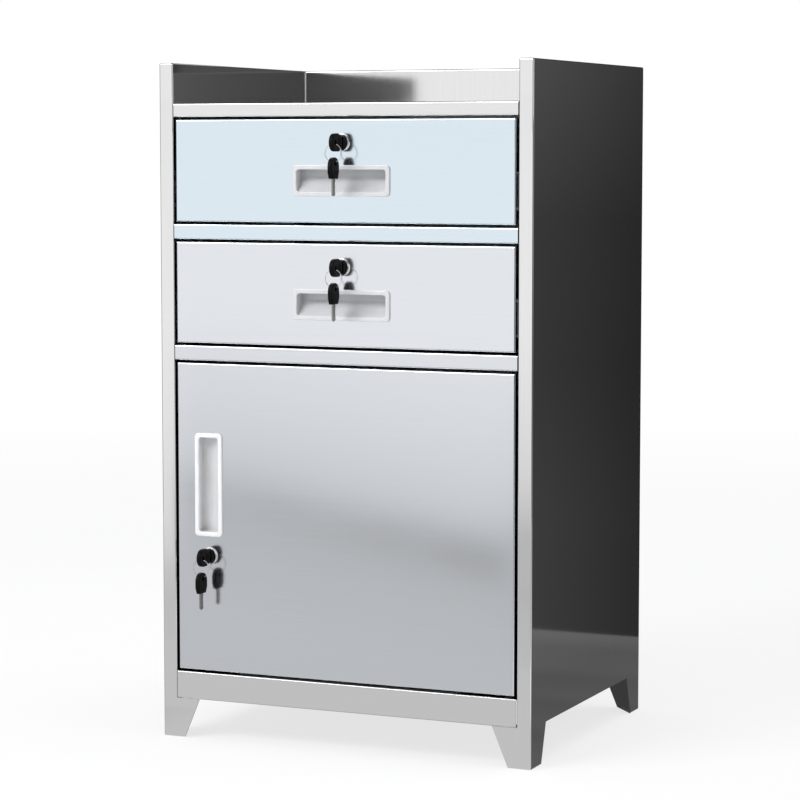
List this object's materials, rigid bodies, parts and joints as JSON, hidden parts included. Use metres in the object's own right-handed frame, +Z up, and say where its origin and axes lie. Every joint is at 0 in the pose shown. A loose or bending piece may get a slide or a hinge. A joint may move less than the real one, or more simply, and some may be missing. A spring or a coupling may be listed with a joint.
{
  "type": "storage cabinet",
  "caption": "Free-standing stainless steel storage cabinet with drawers over a hinged cupboard, recessed pulls, cam locks with hanging keys, a raised gallery round the top and splayed legs.",
  "frame": {"origin": "on the floor, under the middle of the bounding box with the keys in their locks", "axes": "+Z up, -Y out of the front with the drawers and the door, +X to the right seen from the front"},
  "size_m": [0.5, 0.4334, 0.85],
  "materials": {
    "side_steel": "polished stainless sheet",
    "front_steel": "satin stainless sheet",
    "inner_steel": "mill-finish stainless sheet",
    "zinc_steel": "bright zinc plate",
    "lock_chrome": "chrome plate",
    "pull_plastic": "pale grey moulded plastic",
    "key_plastic": "black moulded plastic",
    "bush_nylon": "natural nylon"
  },
  "bodies": {
    "carcass": {"left_side_panel": "side_steel", "right_side_panel": "side_steel", "back_panel": "side_steel", "top_deck": "front_steel", "upper_rail": "front_steel", "divider_panel": "front_steel", "bottom_panel": "inner_steel", "front_apron": "front_steel", "shelf": "inner_steel", "shelf_clips": "zinc_steel", "slide_posts": "zinc_steel", "door_pivot_pins": "zinc_steel", "upper_outer_rails": "zinc_steel", "lower_outer_rails": "zinc_steel"},
    "upper_drawer": {"upper_drawer_skin": "front_steel", "upper_drawer_liner": "inner_steel", "upper_drawer_pull": "pull_plastic", "upper_drawer_tray": "inner_steel", "upper_inner_rails": "zinc_steel", "upper_lock_barrel": "lock_chrome", "upper_lock_nut": "zinc_steel"},
    "upper_middles": {"upper_middle_rails": "zinc_steel"},
    "lower_drawer": {"lower_drawer_skin": "front_steel", "lower_drawer_liner": "inner_steel", "lower_drawer_pull": "pull_plastic", "lower_drawer_tray": "inner_steel", "lower_inner_rails": "zinc_steel", "lower_lock_barrel": "lock_chrome", "lower_lock_nut": "zinc_steel"},
    "lower_middles": {"lower_middle_rails": "zinc_steel"},
    "door": {"door_skin": "front_steel", "door_liner": "inner_steel", "door_pull": "pull_plastic", "door_pivot_bushes": "bush_nylon", "door_lock_barrel": "lock_chrome", "door_lock_nut": "zinc_steel"},
    "upper_lock": {"upper_lock_plug": "lock_chrome", "upper_lock_cam": "zinc_steel", "upper_cam_screw": "zinc_steel", "upper_key_head": "key_plastic", "upper_key_blade": "lock_chrome"},
    "upper_ring": {"upper_key_ring": "lock_chrome"},
    "upper_spare_key": {"upper_spare_key_head": "key_plastic", "upper_spare_key_blade": "lock_chrome"},
    "lower_lock": {"lower_lock_plug": "lock_chrome", "lower_lock_cam": "zinc_steel", "lower_cam_screw": "zinc_steel", "lower_key_head": "key_plastic", "lower_key_blade": "lock_chrome"},
    "lower_ring": {"lower_key_ring": "lock_chrome"},
    "lower_spare_key": {"lower_spare_key_head": "key_plastic", "lower_spare_key_blade": "lock_chrome"},
    "door_lock": {"door_lock_plug": "lock_chrome", "door_lock_cam": "zinc_steel", "door_cam_screw": "zinc_steel", "door_key_head": "key_plastic", "door_key_blade": "lock_chrome"},
    "door_ring": {"door_key_ring": "lock_chrome"},
    "door_spare_key": {"door_spare_key_head": "key_plastic", "door_spare_key_blade": "lock_chrome"}
  },
  "joints": [
    {"name": "upper_drawer_slide", "type": "slide", "parent": "carcass", "child": "upper_drawer", "axis": [0, -1, 0], "range_m": [0, 0.33]},
    {"name": "upper_middle_slide", "type": "slide", "parent": "carcass", "child": "upper_middles", "axis": [0, -1, 0], "range_m": [0, 0.165]},
    {"name": "lower_drawer_slide", "type": "slide", "parent": "carcass", "child": "lower_drawer", "axis": [0, -1, 0], "range_m": [0, 0.33]},
    {"name": "lower_middle_slide", "type": "slide", "parent": "carcass", "child": "lower_middles", "axis": [0, -1, 0], "range_m": [0, 0.165]},
    {"name": "door_hinge", "type": "hinge", "parent": "carcass", "child": "door", "pos_m": [0.2185, -0.17625, 0.2825], "axis": [0, 0, 1], "range_deg": [0, 110]},
    {"name": "upper_lock_turn", "type": "hinge", "parent": "upper_drawer", "child": "upper_lock", "pos_m": [0, -0.18325, 0.7513], "axis": [0, 1, 0], "range_deg": [0, 90]},
    {"name": "upper_ring_swing", "type": "hinge", "parent": "upper_lock", "child": "upper_ring", "pos_m": [0, -0.20575, 0.7513], "axis": [-1, 0, 0], "range_deg": [-8, 75]},
    {"name": "upper_spare_key_hang", "type": "hinge", "parent": "upper_ring", "child": "upper_spare_key", "pos_m": [0, -0.20575, 0.7386], "axis": [0, 1, 0], "range_deg": [-90, 0]},
    {"name": "lower_lock_turn", "type": "hinge", "parent": "lower_drawer", "child": "lower_lock", "pos_m": [0, -0.18325, 0.5998], "axis": [0, 1, 0], "range_deg": [0, 90]},
    {"name": "lower_ring_swing", "type": "hinge", "parent": "lower_lock", "child": "lower_ring", "pos_m": [0, -0.20575, 0.5998], "axis": [-1, 0, 0], "range_deg": [-8, 75]},
    {"name": "lower_spare_key_hang", "type": "hinge", "parent": "lower_ring", "child": "lower_spare_key", "pos_m": [0, -0.20575, 0.5871], "axis": [0, 1, 0], "range_deg": [-90, 0]},
    {"name": "door_lock_turn", "type": "hinge", "parent": "door", "child": "door_lock", "pos_m": [-0.1835, -0.18325, 0.23412], "axis": [0, 1, 0], "range_deg": [0, 90]},
    {"name": "door_ring_swing", "type": "hinge", "parent": "door_lock", "child": "door_ring", "pos_m": [-0.1835, -0.20575, 0.23412], "axis": [-1, 0, 0], "range_deg": [-8, 75]},
    {"name": "door_spare_key_hang", "type": "hinge", "parent": "door_ring", "child": "door_spare_key", "pos_m": [-0.1835, -0.20575, 0.22142], "axis": [0, 1, 0], "range_deg": [-90, 0]}
  ],
  "couplings": [
    {"joint": "upper_middle_slide", "follows": "upper_drawer_slide", "ratio": 0.5},
    {"joint": "lower_middle_slide", "follows": "lower_drawer_slide", "ratio": 0.5},
    {"joint": "upper_spare_key_hang", "follows": "upper_lock_turn", "ratio": -1},
    {"joint": "lower_spare_key_hang", "follows": "lower_lock_turn", "ratio": -1},
    {"joint": "door_spare_key_hang", "follows": "door_lock_turn", "ratio": -1}
  ]
}
